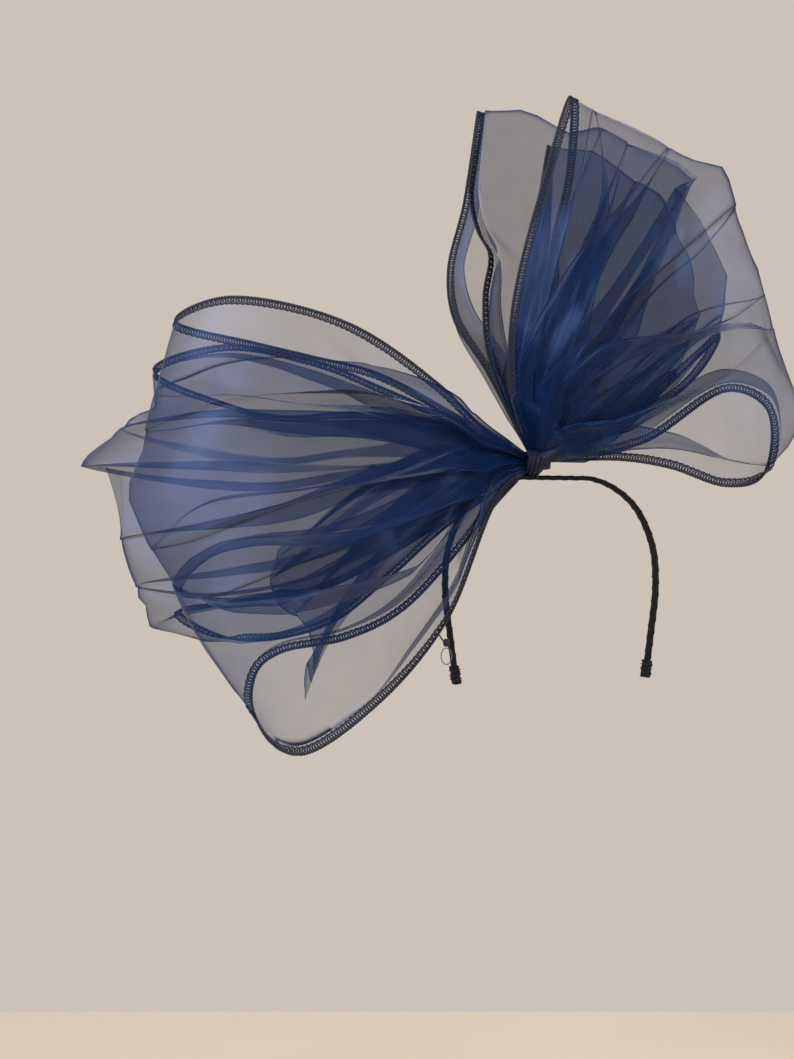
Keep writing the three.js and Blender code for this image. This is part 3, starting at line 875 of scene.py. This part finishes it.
# ---------------------------------------------------------------------------
# Headband
# ---------------------------------------------------------------------------
def band_line():
    """The band's middle line from its near tip to its far tip, as the CAD has it."""
    near = [(BAND_MIDDLE - a, z) for a, z in HALF_ARCH]
    far = [(BAND_MIDDLE + a, z) for a, z in reversed(HALF_ARCH)]
    points = [(a * math.cos(BAND_TURN) * MM, a * math.sin(BAND_TURN) * MM, z * MM)
              for a, z in near + far]
    line = spline(points, 760)
    line[:, 2] = np.minimum(line[:, 2], BAND_HEIGHT / 2)
    return line


def ribbon_tube(name, line, start, width, height, pitch, ridge):
    """Ribbon wound round a flat strip: each turn overlaps the one before it."""
    across = np.array([-math.sin(BAND_TURN), math.cos(BAND_TURN), 0])
    tangent = np.gradient(line, axis=0)
    tangent /= np.linalg.norm(tangent, axis=1)[:, None]
    outward = np.cross(tangent, across)
    run = start + np.concatenate(
        [[0], np.cumsum(np.linalg.norm(np.diff(line, axis=0), axis=1))])
    sides = 24
    points = []
    uvs = []
    for place, out, distance in zip(line, outward, run):
        for j in range(sides):
            angle = 2 * math.pi * j / sides
            c = math.cos(angle)
            n = math.sin(angle)
            a = math.copysign(abs(c) ** 0.45, c)
            b = math.copysign(abs(n) ** 0.45, n)
            lap = (distance / pitch + j / sides) % 1
            rise = ridge * (lap ** 3 - 0.5)
            points.append(place + across * a * (width / 2 + rise) + out * b * (height / 2 + rise))
            uvs.append((distance, angle * 0.0028))
    faces = []
    rings = len(line)
    for i in range(rings - 1):
        for j in range(sides):
            k = (j + 1) % sides
            faces.append([i * sides + j, i * sides + k, (i + 1) * sides + k, (i + 1) * sides + j])
    faces.append(list(range(sides))[::-1])
    faces.append([(rings - 1) * sides + j for j in range(sides)])
    return new_mesh(name, points, faces, uvs)


def make_band():
    line = band_line()
    count = len(line)
    step = np.linalg.norm(line[1] - line[0])
    split = int(BAND_SPLIT * (count - 1))
    pieces = (
        ("near_arm", 6, split + 1),
        ("crown", split, count - split),
        ("far_arm", count - 1 - split, count - 6),
    )
    for body, first, last in pieces:
        wrap = ribbon_tube(f"band_ribbon_{body}", line[first:last], first * step, BAND_WIDTH,
                           BAND_HEIGHT, RIBBON_LAP, RIBBON_RIDGE)
        wrap.data.materials.append(materials["ribbon"])
        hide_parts(f"band_wrap_{body}")
        if body == "crown":
            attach(wrap, "crown")
        else:
            root, away = (split, -24) if body == "near_arm" else (count - 1 - split, 24)
            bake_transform(wrap)
    for body, at, away in (("near", 0, 1), ("far", count - 1, -1)):
        reach = int(TIP_LENGTH / step)
        cut = line[min(at, at + away * reach):max(at, at + away * reach) + 1]
        tip = ribbon_tube(f"band_tip_{body}_fold", cut, 0, BAND_WIDTH + 0.0022,
                          BAND_HEIGHT + 0.0020, TIP_LAP, TIP_RIDGE)
        finish_piece(tip, "ribbon", "band_ribbon", f"{body}_arm", f"band_tip_{body}")
        whip = []
        for share in (0.25, 0.5, 0.75):
            centre = line[at + away * int(reach * share)]
            whip.append(stitch_round(centre, line[at + away * 2] - line[at]))
        stitches = new_mesh(f"band_tip_{body}_stitches", *merged(whip))
        finish_piece(stitches, "thread", "edge_thread", f"{body}_arm")
    for body in ("near_arm", "crown", "far_arm"):
        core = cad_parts[f"band_core_{body}"]
        core.data.materials.clear()
        core.data.materials.append(materials["core"])


def stitch_round(centre, direction):
    """One thread laid round the folded ribbon end."""
    across = np.array([-math.sin(BAND_TURN), math.cos(BAND_TURN), 0])
    tangent = direction / np.linalg.norm(direction)
    outward = np.cross(tangent, across)
    path = []
    for i in range(33):
        angle = 2 * math.pi * i / 32
        c = math.cos(angle)
        n = math.sin(angle)
        a = math.copysign(abs(c) ** 0.5, c) * (BAND_WIDTH / 2 + 0.0015)
        b = math.copysign(abs(n) ** 0.5, n) * (BAND_HEIGHT / 2 + 0.0014)
        path.append(centre + across * a + outward * b + tangent * 0.0006 * i / 32)
    return plied(np.array(path), 0.0003, 0.0015)


# ---------------------------------------------------------------------------
# Tied-off end of the edge thread, under the left loop
# ---------------------------------------------------------------------------
def make_tie_off():
    low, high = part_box("edge_thread_knot")
    middle = np.array((low + high) / 2)
    size = (high.z - low.z) / 2
    t = np.linspace(0, 1, 420)
    angle = 2 * math.pi * 9 * t
    tilt = math.pi * t
    radius = size * 0.72
    path = middle + np.stack([
        radius * np.cos(angle) * (0.45 + 0.55 * np.sin(tilt)),
        radius * np.sin(angle) * (0.45 + 0.55 * np.sin(tilt + 0.6)),
        radius * np.cos(tilt) + 0.0004 * np.sin(3 * angle),
    ], axis=1)
    hem = bpy.data.objects["left_front_bottom_overlock"]
    places = np.array([vertex.co for vertex in hem.data.vertices])
    anchor = places[np.linalg.norm(places - middle, axis=1).argmin()]
    sag = (anchor + middle) / 2 - np.array([0, 0, TAIL_SAG])
    tail = spline([anchor, sag, middle], 30)
    blob = new_mesh("edge_thread_tie", *merged([tube(path, 0.00042, 6),
                                                plied(tail, TAIL_RADIUS, TAIL_LAY)]))
    finish_piece(blob, "thread", "edge_thread", "left_lobe", "edge_thread_knot")

    low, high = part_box("filament_end_loop")
    middle = np.array((low + high) / 2)
    half = np.array((high - low) / 2)
    t = np.linspace(0, 2 * math.pi, 64)
    path = middle + np.stack([
        0.62 * half[0] * np.sin(t),
        0.0003 * np.sin(2 * t),
        half[2] * 0.93 * np.cos(t),
    ], axis=1)
    ring = new_mesh("filament_loop", *tube(path, 0.0003, 8))
    finish_piece(ring, "filament", "filament", "left_lobe", "filament_end_loop")


def finish_piece(piece, material, slot, body, *nodes):
    piece.data.materials.append(materials[material])
    if nodes:
        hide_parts(*nodes)
    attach(piece, body)


def weld(piece):
    modifier = piece.modifiers.new("weld", "WELD")
    modifier.merge_threshold = 1e-5


def thicken(piece, thickness):
    modifier = piece.modifiers.new("thickness", "SOLIDIFY")
    modifier.thickness = thickness
    modifier.offset = 0


# ---------------------------------------------------------------------------
# Build
# ---------------------------------------------------------------------------
materials = {
    "organza": organza_material(),
    "thread": thread_material("edge_thread", (0.003, 0.004, 0.010), (0.012, 0.015, 0.036), 0.75),
    "knot": woven_material("knot_fabric", (0.002, 0.003, 0.016), (0.016, 0.016, 0.070), 0.0008,
                           0.6, 0.03, 0.25),
    "ribbon": woven_material("band_ribbon", (0.001, 0.001, 0.002), (0.005, 0.005, 0.007), 0.0006,
                             0.65, 0.0, 0.2),
    "pinched": woven_material("pinched_organza", (0.003, 0.008, 0.03), (0.012, 0.04, 0.13),
                              0.0006, 0.4, 0.4),
    "core": plastic_material("band_core", (0.01, 0.01, 0.01), 0.4),
    "filament": plastic_material("filament", (0.02, 0.025, 0.05), 0.2),
}

set_stage()
for loop_name, loop_data in LOOPS.items():
    make_loop(loop_name, loop_data)
make_knot()
make_pinched_centre()
make_binding_thread()
make_tack_stitches()
make_band()
make_tie_off()
